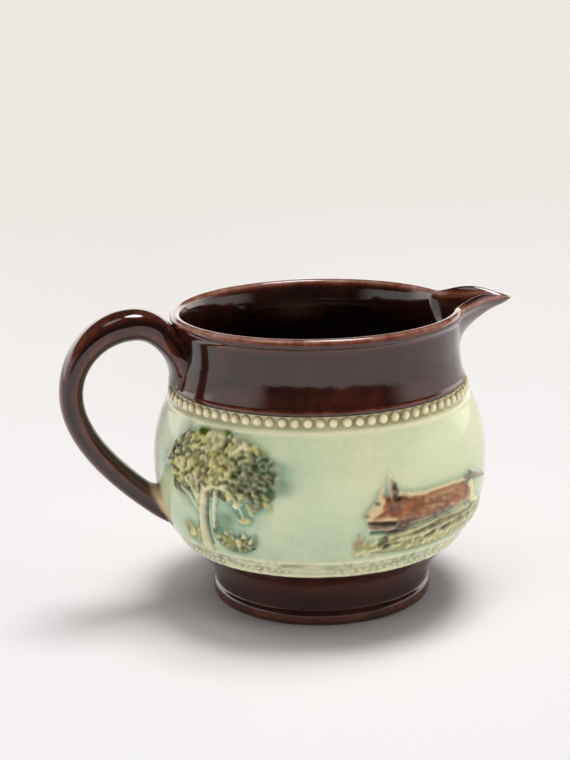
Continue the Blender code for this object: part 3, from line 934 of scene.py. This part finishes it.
def runner_strokes(coat: Tint, light: Tint, dark: Tint, seed: int) -> list[Stroke]:
    """Draw a running animal, and the log and grass under it.

    Args:
        coat: the colour of its coat.
        light: the colour of its back and throat.
        dark: the colour of its ears, eye, tail and legs.
        seed: fixes the random grass.

    Returns:
        The strokes, in shares of the animal's length.
    """
    rng = np.random.default_rng(seed)
    strokes = undergrowth(rng)
    # Tail, hind leg, body from the back to the chest, then the head
    strokes += [Stroke(*row) for row in (
        (0.15, 0.312, 0.24, 0.322, 0.022, 0.030, 0.82, dark),
        (0.24, 0.322, 0.43, 0.268, 0.030, 0.011, 0.78, dark),
        (0.22, 0.326, 0.36, 0.294, 0.007, 0.004, 0.95, Tint.LEAF),
        (0.26, 0.200, 0.36, 0.155, 0.026, 0.012, 0.62, Tint.LEAF_PALE),
        (0.225, 0.285, 0.262, 0.210, 0.042, 0.030, 0.72, Tint.LEAF_PALE),
        (-0.03, 0.262, 0.13, 0.258, 0.078, 0.066, 1.00, coat),
        (0.13, 0.262, 0.19, 0.240, 0.066, 0.045, 0.92, coat),
        (-0.24, 0.250, -0.03, 0.262, 0.092, 0.078, 1.00, coat),
        (-0.26, 0.230, -0.33, 0.180, 0.058, 0.028, 0.88, coat),
        (-0.395, 0.212, -0.28, 0.200, 0.044, 0.062, 0.64, coat),
        (-0.35, 0.300, -0.27, 0.285, 0.050, 0.066, 0.98, coat),
        (-0.422, 0.254, -0.37, 0.290, 0.024, 0.038, 0.92, light),
        (-0.405, 0.236, -0.34, 0.250, 0.016, 0.030, 0.96, coat),
        (-0.365, 0.318, -0.385, 0.292, 0.026, 0.022, 1.05, light))]
    # Ears, then the eye, the nose and the gaps between the forelegs
    ears = [([(-0.296, 0.335, 0.034), (-0.306, 0.380, 0.024), (-0.320, 0.432, 0.008)], 1.0,
             light, Tool.RAISE),
            ([(-0.290, 0.340, 0.030), (-0.298, 0.385, 0.024), (-0.312, 0.418, 0.011)], 0.30,
             dark, Tool.CUT),
            ([(-0.362, 0.342, 0.018), (-0.358, 0.378, 0.008)], 0.9, light, Tool.RAISE),
            ([(-0.355, 0.345, 0.009), (-0.353, 0.368, 0.005)], 0.2, dark, Tool.CUT)]
    for points, crown, tint, tool in ears:
        strokes += trail(points, crown, tint, tool)
    strokes += [Stroke(*row, dark, Tool.CUT) for row in (
        (-0.390, 0.312, -0.380, 0.316, 0.009, 0.008, 0.30),
        (-0.440, 0.254, -0.434, 0.257, 0.010, 0.008, 0.20),
        (-0.425, 0.222, -0.30, 0.208, 0.012, 0.018, 0.45),
        (-0.41, 0.160, -0.28, 0.155, 0.013, 0.013, 0.35))]
    # Forelegs, and the pale edge along the back
    for points, crown in (
            ([(-0.43, 0.238, 0.012), (-0.36, 0.232, 0.015), (-0.28, 0.224, 0.012)], 0.84),
            ([(-0.42, 0.184, 0.011), (-0.36, 0.181, 0.014), (-0.30, 0.178, 0.012)], 0.72),
            ([(-0.275, 0.348, 0.012), (-0.20, 0.331, 0.009), (-0.13, 0.326, 0.008),
              (-0.06, 0.333, 0.008), (0.04, 0.334, 0.008), (0.16, 0.322, 0.008)], 0.90)):
        strokes += trail(points, crown, light)
    # The dark brushed along the belly and under the chest is painted shade; the other brushed
    # marks colour the ears, legs and coat.
    strokes += [Stroke(x0, y0, x1, y1, wide, wide, strength, tint, Tool.BRUSH)
                for x0, y0, x1, y1, wide, strength, tint in (
                    (-0.26, 0.190, 0.06, 0.196, 0.034, 0.75, dark),
                    (-0.40, 0.200, -0.24, 0.172, 0.034, 0.80, dark),
                    (-0.335, 0.325, -0.315, 0.262, 0.016, 0.70, dark),
                    (-0.296, 0.330, -0.304, 0.390, 0.018, 1.00, dark),
                    (-0.41, 0.208, -0.27, 0.198, 0.010, 1.00, dark),
                    (-0.41, 0.163, -0.25, 0.160, 0.014, 1.00, dark),
                    (-0.30, 0.270, -0.25, 0.330, 0.026, 0.60, dark),
                    (-0.24, 0.220, -0.16, 0.300, 0.022, 0.40, dark),
                    (-0.36, 0.255, -0.29, 0.250, 0.022, 0.45, coat),
                    (0.15, 0.205, 0.18, 0.300, 0.014, 0.55, dark),
                    (-0.12, 0.300, 0.14, 0.302, 0.018, 0.30, light),
                    (-0.20, 0.310, -0.08, 0.306, 0.014, 0.30, Tint.RUSSET))]
    for _ in range(130):
        across, up = rng.uniform(-0.27, 0.17), rng.uniform(0.18, 0.325)
        shaded = rng.uniform() < 0.15 + 4.0 * (up - 0.18)
        strokes.append(flick(across, up, 0.022, -0.010, 0.007, 0.004, 0.36,
                             dark if shaded else light, Tool.BRUSH))
    return strokes + [Stroke(*row, 0.009, 0.006, 0.45, dark, Tool.BRUSH) for row in (
        (-0.24, 0.235, 0.02, 0.232), (-0.18, 0.270, 0.10, 0.262),
        (-0.25, 0.205, -0.02, 0.210), (-0.10, 0.290, 0.12, 0.285))]


@dataclass
class BandGrid:
    """The moulded band as a fine grid of heights and colours round the belly."""

    outline: TurnedOutline
    azimuth_deg: np.ndarray
    height: np.ndarray
    proud: np.ndarray = field(init=False)
    paint: np.ndarray = field(init=False)
    figure: np.ndarray = field(init=False)

    def __post_init__(self) -> None:
        """Start with bare field everywhere."""
        shape = (len(self.height), len(self.azimuth_deg))
        self.proud, self.figure = np.zeros(shape), np.zeros(shape)
        self.paint = np.ones(shape + (4,))

    def tint(self, colour: str, share: np.ndarray) -> None:
        """Lay a colour over the paint, as strongly as share says."""
        weight = share[..., None]
        self.paint[...] = self.paint * (1 - weight) + np.array(linear(colour)) * weight


@dataclass
class ReliefBand:
    """The pale green band with its mouldings, tree, fox and hound."""

    outline: TurnedOutline
    fine_step: float = 0.34
    coarse_step: float = 1.3
    row_step: float = 0.34
    top_height: float = 62.5
    fillet_height: float = 58.2
    channel_height: float = 60.5
    lower_fillet_height: float = 22.8
    spot_height: float = 21.4
    spot_count: int = 132
    grain_height: float = 20.3
    step_height: float = 19.4
    shade_height: float = 26.0
    shade_span: float = 16.0
    ground: str = "#c6d0ac"
    ground_low: str = "#a8bb9c"
    cream: str = "#e6dfbf"
    olive: str = "#a39c6c"
    # Dark brown laid as painted shade in the channel under the shoulder beads, and as speckle near
    # the foot
    stain_and_shade: str = "#6e5c3a"
    figures: list[ReliefFigure] = field(default_factory=list)

    def columns(self) -> np.ndarray:
        """Space the columns finely over the figures and coarsely between them."""
        steps = []
        azimuth = -180.0
        per_mm = math.degrees(1.0 / self.outline.belly_radius)
        while azimuth < 180.0 - 0.2:
            steps.append(azimuth)
            near = any(abs(f.turn_from(azimuth)) < 0.56 * f.size * per_mm for f in self.figures)
            azimuth += (self.fine_step if near else self.coarse_step) * per_mm
        return np.array(steps)

    def rows(self) -> np.ndarray:
        """Space the rows evenly from the band's foot to its top."""
        low = self.outline.band_foot_height
        count = int(round((self.top_height - low) / self.row_step)) + 1
        return np.linspace(low, self.top_height, count)

    def mouldings(self, band: BandGrid) -> None:
        """Lay the plain field and the turned mouldings at the band's two edges."""
        z = band.height[:, None]
        # The field is painted darker and greener at the band's foot, rising to the ground colour
        # above: painted shade.
        band.tint(self.ground_low, np.ones_like(z))
        band.tint(self.ground, smooth((z - self.shade_height) / self.shade_span))
        # In the channel under the shoulder beads the olive is painted shade.
        for height, half, depth, strength in ((self.channel_height, 2.1, 0.12, 0.75),
                                              (self.spot_height, 0.9, 0.05, 0.15),
                                              (self.step_height, 1.1, 0.10, 0.25)):
            share = hump(z, height, half, 4)
            band.proud -= depth * share
            band.tint(self.olive, strength * share)
        for height, rise, half in (
                (self.fillet_height, 0.30, 0.50), (self.lower_fillet_height, 0.24, 0.45),
                (self.outline.band_foot_height + 0.7, 0.22, 0.55)):
            share = hump(z, height, half)
            band.proud += rise * share
            band.tint(self.cream, 0.85 * share)
        turn = np.radians(band.azimuth_deg)[None, :] * self.spot_count
        spot = hump(z, self.spot_height, 0.5) * np.maximum(0.0, np.cos(turn))
        # The dark brown along the channel is painted shade between and under the shoulder beads;
        # the same colour laid on the grain near the band's foot is speckle in the glaze.
        stain_and_shade = hump(z, self.channel_height, 1.3, 4) * (0.75 + 0.25 * np.sin(0.31 * turn))
        grain = soften(np.random.default_rng(21).normal(size=spot.shape), 1.1)
        grain = np.clip(grain * 2.6, -1.0, 1.0) * hump(z, self.grain_height, 2.9, 4)
        band.proud += 0.11 * grain
        band.tint(self.olive, 0.3 * spot)
        band.tint(self.stain_and_shade, 0.92 * stain_and_shade)
        band.tint(self.stain_and_shade, 0.62 * np.maximum(0.0, -grain))
        band.tint(self.cream, 0.60 * np.maximum(0.0, grain))

    def pool(self, band: BandGrid) -> np.ndarray:
        """Judge where coloured glaze pools in hollows beside raised work."""
        cells = 1.1 / self.row_step
        hollow = np.clip((soften(band.proud, cells) - band.proud) / 0.32, 0.0, 1.0)
        wash = soften(band.figure, 3.2 * cells)
        inside = smooth(band.figure)
        band.paint[..., :3] *= (1.0 - 0.6 * hollow * inside)[..., None]
        pool = np.clip((0.8 * hollow * (0.3 + wash) + 0.3 * wash) * (1 - inside), 0.0, 0.9)
        for figure in self.figures:
            half = 0.62 * math.degrees(figure.size / self.outline.belly_radius)
            away = np.abs(figure.turn_from(band.azimuth_deg)) - 0.9 * half
            pool *= between(figure.pooling, 1.0, smooth(away / (0.2 * half)))
        return pool

    def build(self, glaze: bpy.types.Material) -> None:
        """Make and dress the band."""
        band = BandGrid(self.outline, self.columns(), self.rows())
        self.mouldings(band)
        for figure in self.figures:
            figure.press(band)
        pool = self.pool(band)
        high = np.clip((band.proud - soften(band.proud, 2.0)) / 0.22, 0.0, 1.0)
        band.tint(self.cream, 0.30 * high * band.figure)
        band.paint[...] = soften(band.paint, 0.75)
        proud = soften(band.proud, 0.6)
        proud[[0, -1]] = -0.5
        mesh = grid_mesh("relief_band", self.outline.on_wall(
            np.radians(band.azimuth_deg)[None, :],
            band.height[:, None] * np.ones_like(proud), proud))
        store(mesh, "paint", band.paint)
        store(mesh, "pool", pool)
        store(mesh, "open_field", 1.0 - smooth(2.0 * band.figure + 1.5 * pool))
        place(mesh, glaze)


@dataclass
class BeadRow:
    """A row of half-round beads round the wall."""

    outline: TurnedOutline
    name: str
    count: int
    height: float
    diameter: float
    proud: float
    seed: int
    sides: int = 14
    rings: int = 7

    def build(self, glaze: bpy.types.Material) -> None:
        """Make and dress the row."""
        rng = np.random.default_rng(self.seed)
        turn = np.linspace(0.0, 2 * math.pi, self.sides, endpoint=False)[None, :, None]
        tilt = np.linspace(0.0, 0.62 * math.pi, self.rings)[::-1, None, None]
        beads = []
        for i in range(self.count):
            azimuth = 2 * math.pi * (i + 0.5 + rng.uniform(-0.05, 0.05)) / self.count
            radius = 0.5 * self.diameter * rng.uniform(0.94, 1.04)
            height = self.height + rng.uniform(-0.06, 0.06)
            centre = self.outline.on_wall(azimuth, height, self.proud - radius)
            out = np.array([math.cos(azimuth), math.sin(azimuth), 0.0])
            side = np.array([-math.sin(azimuth), math.cos(azimuth), 0.0])
            across = side * np.cos(turn) + np.array([0.0, 0.0, 1.0]) * np.sin(turn)
            beads.append(centre + radius * MM * (out * np.cos(tilt) + np.sin(tilt) * across))
        mesh = grid_mesh(self.name, np.array(beads))
        store(mesh, "crown", np.broadcast_to(np.cos(tilt),
                                             (self.count, self.rings, self.sides, 1)))
        place(mesh, glaze)


@dataclass
class PulledHandle:
    """The handle, pulled as a strap and pressed on below the rim and on the belly."""

    outline: TurnedOutline
    turn: float = 5.0
    thick: float = 6.5
    width: float = 9.0
    finger_room: float = 19.2
    bow_height: float = 62.5
    crest_drop: float = 0.95
    crest_share: float = 0.42
    tail_height: float = 63.6
    tail_sink: float = 2.2
    tail_swell: float = 0.95
    tail_spread: float = 0.75
    crest_swell: float = 1.33
    seat_height: float = 27.3
    seat_swell: float = 1.05
    steps: int = 70
    sides: int = 56
    squareness: float = 2.35
    fillet: float = 0.9
    inner_fillet: float = 1.7
    tongue: float = 6.2
    tongue_swell: float = 0.75
    melt_height: float = 27.0
    melt_span: float = 6.5
    joint_top: float = 45.0
    # Painted light round the strap, each as strength, middle and half width along the cosine round
    # it: two lighter painted reflections and a darker painted crease in shade.
    painted_light_bands: tuple = ((0.26, -0.80, 0.35), (0.30, 0.20, 0.32), (-0.25, -0.28, 0.10))

    def knots(self) -> list[tuple]:
        """Place the middle line's knots: point, both Bezier arms and swell."""
        shape = self.outline
        tail = float(shape.radius(self.tail_height)) - self.tail_sink
        seat = float(shape.radius(self.seat_height)) - 0.5 * shape.wall
        bow = shape.belly_radius + self.finger_room + self.thick / 2
        crest = shape.rim_height - self.crest_drop
        crest_reach = tail + (bow - tail) * self.crest_share
        bend = (self.seat_height - self.bow_height) * 0.44
        down, up = crest - self.bow_height, crest - self.tail_height
        tip_height = self.seat_height - self.tongue
        tip = float(shape.radius(tip_height)) - 0.5 * shape.wall
        return [
            ((tail, self.tail_height), (tail, self.tail_height - 2.0),
             (tail, self.tail_height + KAPPA * up), self.tail_swell),
            ((crest_reach, crest), (crest_reach + KAPPA * (tail - crest_reach), crest),
             (crest_reach + KAPPA * (bow - crest_reach), crest), self.crest_swell),
            ((bow, self.bow_height), (bow, self.bow_height + KAPPA * down),
             (bow, self.bow_height + bend * 2 / 3), 1.0),
            ((seat, self.seat_height),
             (seat + (bow - seat) * 2 / 3,
              self.seat_height + (self.bow_height + bend - self.seat_height) * 2 / 3),
             (seat - 1.7, self.seat_height - 1.1), self.seat_swell),
            ((tip, tip_height), (tip + 1.2, tip_height + 2.0), (tip, tip_height),
             self.tongue_swell),
        ]

    def line(self) -> tuple[np.ndarray, np.ndarray]:
        """Sample the middle line.

        Returns:
            Reach and height of each point, and the swell there.
        """
        knots = self.knots()
        places, swells = [], []
        t = np.linspace(0.0, 1.0, self.steps, endpoint=False)[:, None]
        for (p0, _, p1, swell), (p3, p2, _, next_swell) in zip(knots[:-1], knots[1:]):
            p0, p1, p2, p3 = (np.array(point) for point in (p0, p1, p2, p3))
            places.append((1 - t) ** 3 * p0 + 3 * t * (1 - t) ** 2 * p1
                          + 3 * t ** 2 * (1 - t) * p2 + t ** 3 * p3)
            swells.append(swell + (next_swell - swell) * smooth(t[:, 0]))
        return (np.concatenate([*places, [knots[-1][0]]]),
                np.concatenate([*swells, [knots[-1][3]]]))

    def build(self, glaze: bpy.types.Material) -> None:
        """Make and dress the handle."""
        places, swell = self.line()
        tangent = np.gradient(places, axis=0)
        tangent /= np.linalg.norm(tangent, axis=1)[:, None]
        angle = np.linspace(0.0, 2 * math.pi, self.sides, endpoint=False)
        away, side = (np.sign(wave) * np.abs(wave) ** (2.0 / self.squareness)
                      for wave in (np.cos(angle), np.sin(angle)))
        run = np.arange(len(places)) / self.steps
        spread = 1.0 + self.tail_spread * hump(run, 0.30, 0.22) - 0.5 * smooth(run - 3.0)
        deep = 0.5 * self.thick * swell[:, None] * away[None, :]
        wide = 0.5 * self.width * (swell * spread)[:, None] * side[None, :]

        def section(grow: np.ndarray | float) -> tuple[np.ndarray, np.ndarray, np.ndarray]:
            """Give each point's height, the wall's radius there and its gap to the wall."""
            height = places[:, 1:] - tangent[:, :1] * deep * grow
            reach = np.hypot(places[:, :1] + tangent[:, 1:] * deep * grow, wide * grow)
            skin = self.outline.radius(height)
            return height, skin, reach - skin

        fillet = self.fillet + self.inner_fillet * smooth(0.5 + 0.8 * away)[None, :]
        room = np.clip(fillet - section(1.0)[2], 0.0, fillet)
        grow = 1.0 + (fillet - np.sqrt(fillet ** 2 - room ** 2)) / np.hypot(deep, wide)
        height, skin, gap = section(grow)
        wide = wide * grow
        melt = smooth((self.melt_height - height) / self.melt_span)
        gap = np.maximum(gap * (1.0 - melt) - 0.3 * melt ** 2, -1.3)
        reach = np.sqrt((skin + gap) ** 2 - wide ** 2)
        bend = math.radians(180.0 + self.turn)
        points = np.stack([reach * math.cos(bend) - wide * math.sin(bend),
                           reach * math.sin(bend) + wide * math.cos(bend), height], axis=-1)
        mesh = grid_mesh("pulled_handle", points[::-1] * MM)
        bank = np.cos(angle)[None, :]
        # The strap's lighter painted reflections and darker painted crease in shade, summed.
        ridge = sum(thin_glaze_and_painted_light * hump(bank, middle, half) for thin_glaze_and_painted_light, middle, half in self.painted_light_bands)
        bare = 0.3 + 2.2 * smooth(0.5 + 0.8 * bank)
        near = smooth(1.5 - gap / bare) * smooth(0.9 + 1.2 * bank) * (height < self.joint_top)
        store(mesh, "thin_glaze_and_painted_light", (ridge + 0.2 * near)[::-1])
        store(mesh, "bleed", (0.9 * near)[::-1])
        place(mesh, glaze)


@dataclass(frozen=True)
class PhotoCamera:
    """The camera, at the photograph's place and angle."""

    distance: float = 430.0
    height: float = 175.63
    focal_px: float = 1578.63
    frame_px: float = 760.0
    sensor: float = 36.0
    pitch: float = 0.25957
    yaw: float = -0.02148
    roll: float = 0.02568
    turn: float = -10.0

    def build(self) -> None:
        """Add the camera and look through it."""
        camera = bpy.data.cameras.new("photo_camera")
        camera.sensor_width = self.sensor
        camera.lens = self.sensor * self.focal_px / self.frame_px
        camera.clip_start = 0.01
        cy, sy = math.cos(self.yaw), math.sin(self.yaw)
        cp, sp = math.cos(self.pitch), math.sin(self.pitch)
        cr, sr = math.cos(self.roll), math.sin(self.roll)
        right, up = Vector((cy, -sy, 0.0)), Vector((sp * sy, sp * cy, cp))
        ahead = Vector((cp * sy, cp * cy, -sp))
        axes = Matrix((cr * right - sr * up, sr * right + cr * up, -ahead)).transposed()
        stand = Matrix.Translation(Vector((0.0, -self.distance, self.height)) * MM)
        spin = Matrix.Rotation(math.radians(self.turn), 4, "Z")
        item = linked("photo_camera", camera)
        item.matrix_world = spin @ stand @ axes.to_4x4()
        bpy.context.scene.camera = item
        LOG.info("camera: lens %.1f mm", camera.lens)


@dataclass(frozen=True)
class BroadSun:
    """A far light as wide as a big diffuser, even over the whole table."""

    name: str
    azimuth: float
    elevation: float
    spread: float
    strength: float
    colour: str = "#ffffff"
    mirrored: bool = True

    def build(self) -> None:
        """Add the light."""
        lamp = bpy.data.lights.new(self.name, "SUN")
        lamp.energy = self.strength
        lamp.angle = math.radians(self.spread)
        lamp.color = linear(self.colour)[:3]
        item = linked(self.name, lamp)
        a, e = math.radians(self.azimuth), math.radians(self.elevation)
        toward = Vector((math.sin(a) * math.cos(e), -math.cos(a) * math.cos(e), math.sin(e)))
        item.rotation_euler = toward.to_track_quat("Z", "Y").to_euler()
        item.visible_glossy = self.mirrored
        LOG.info("light %s", self.name)


@dataclass
class Studio:
    """A white table in a dim room with a pale low wall all round it."""

    half_width: float = 14.0
    wall: str = "#f1ecea"
    wall_top: float = 0.29
    side_glow: float = 1.2
    ceiling_glow: float = 0.05
    back_glow: float = 2.4
    overhead: float = 0.05
    dimmest: float = 0.035

    def room(self) -> None:
        """Light the room: a low wall lit at the sides and back, dim in front and above."""
        world = bpy.data.worlds.new("studio_room")
        world.use_nodes = True
        make = NodeMaker(world.node_tree)
        where = make.add("TexCoord", out="Generated")
        across, toward, high = (make.add("SeparateXYZ", None, axis, Vector=where)
                                for axis in "XYZ")
        aside = make.add("Math", {"operation": "ABSOLUTE"}, in0=across)
        beside, astern, low, ceiling, behind = (
            make.add("MapRange", {"interpolation_type": "SMOOTHSTEP"}, Value=value,
                     From_Min=start, From_Max=end, To_Min=first, To_Max=last)
            for value, start, end, first, last in (
                (aside, 0.68, 0.95, 0.0, self.side_glow),
                (toward, -0.1, 0.4, 0.0, self.back_glow),
                (high, self.wall_top - 0.03, self.wall_top + 0.04, 1.0, 0.0),
                (high, 0.74, 0.88, 0.0, self.ceiling_glow),
                (toward, -0.4, 0.5, self.dimmest, self.overhead)))
        lit = make.add("Math", TIMES, in1=low,
                       in0=make.add("Math", LARGER, in0=beside, in1=astern))
        lit = make.add("Math", LARGER, in0=behind, in1=lit)
        make.feed(world.node_tree.nodes["Background"], Color=self.wall,
                  Strength=make.add("Math", LARGER, in0=ceiling, in1=lit))
        bpy.context.scene.world = world

    def build(self, table: bpy.types.Material) -> None:
        """Add the table, the room's light and the lamps."""
        w = self.half_width
        mesh = bpy.data.meshes.new("studio_table")
        mesh.from_pydata([(-w, -w, 0), (w, -w, 0), (w, w, 0), (-w, w, 0)], [], [(0, 1, 2, 3)])
        mesh.materials.append(table)
        linked("studio_table", mesh)
        self.room()
        bpy.context.scene.view_settings.view_transform = "Standard"
        for light in (BroadSun("overhead_box", 125.0, 79.0, 24.0, 1.9),
                      BroadSun("overhead_left", -80.0, 72.0, 22.0, 0.22),
                      BroadSun("overhead_veil", 90.0, 80.0, 70.0, 0.45, "#ffffff", False),
                      BroadSun("front_fill", 0.0, 2.5, 14.0, 1.35, "#fdfdff", False),
                      BroadSun("right_fill", 70.0, 2.5, 14.0, 1.45, "#fff8ee", False),
                      BroadSun("left_fill", -80.0, 2.5, 14.0, 1.30, "#fdfdff", False)):
            light.build()


def main() -> None:
    """Build the jug's pieces, the studio and the camera."""
    logging.basicConfig(level=logging.INFO, format="%(name)s %(message)s")
    PhotoCamera().build()
    outline = TurnedOutline()
    treacle = TreacleGlaze().build()
    green = PaintedGreenGlaze().build()
    cream = CreamGlaze().build()
    pale_slip = CreamGlaze("pale_green_slip_glazed", "#cccdaa", "#a3a682").build()
    TurnedWall(outline).build(treacle, BareStoneware().build())
    ReliefBand(outline, figures=[
        ReliefFigure(-137.0, 23.6, 34.0, 1.2, Side.AS_DRAWN, tree_strokes(3, 1.0)),
        ReliefFigure(-56.5, 23.0, 54.0, 1.3, Side.AS_DRAWN,
                     runner_strokes(Tint.FOX, Tint.FOX_LIGHT, Tint.FOX_DARK, 5), 0.5),
        ReliefFigure(133.0, 23.6, 34.0, 1.2, Side.MIRRORED, tree_strokes(8, 0.8)),
        ReliefFigure(60.0, 23.0, 54.0, 1.3, Side.AS_DRAWN,
                     runner_strokes(Tint.HOUND, Tint.HOUND, Tint.HOUND_DARK, 9), 0.5),
    ]).build(green)
    BeadRow(outline, "shoulder_beads", 78, 60.7, 3.2, 0.80, 11).build(cream)
    BeadRow(outline, "foot_beads", 132, 19.4, 1.6, 0.22, 12, 10, 5).build(pale_slip)
    PulledHandle(outline).build(treacle)
    Studio().build(PaleSweep().build())


if __name__ == "__main__":
    main()
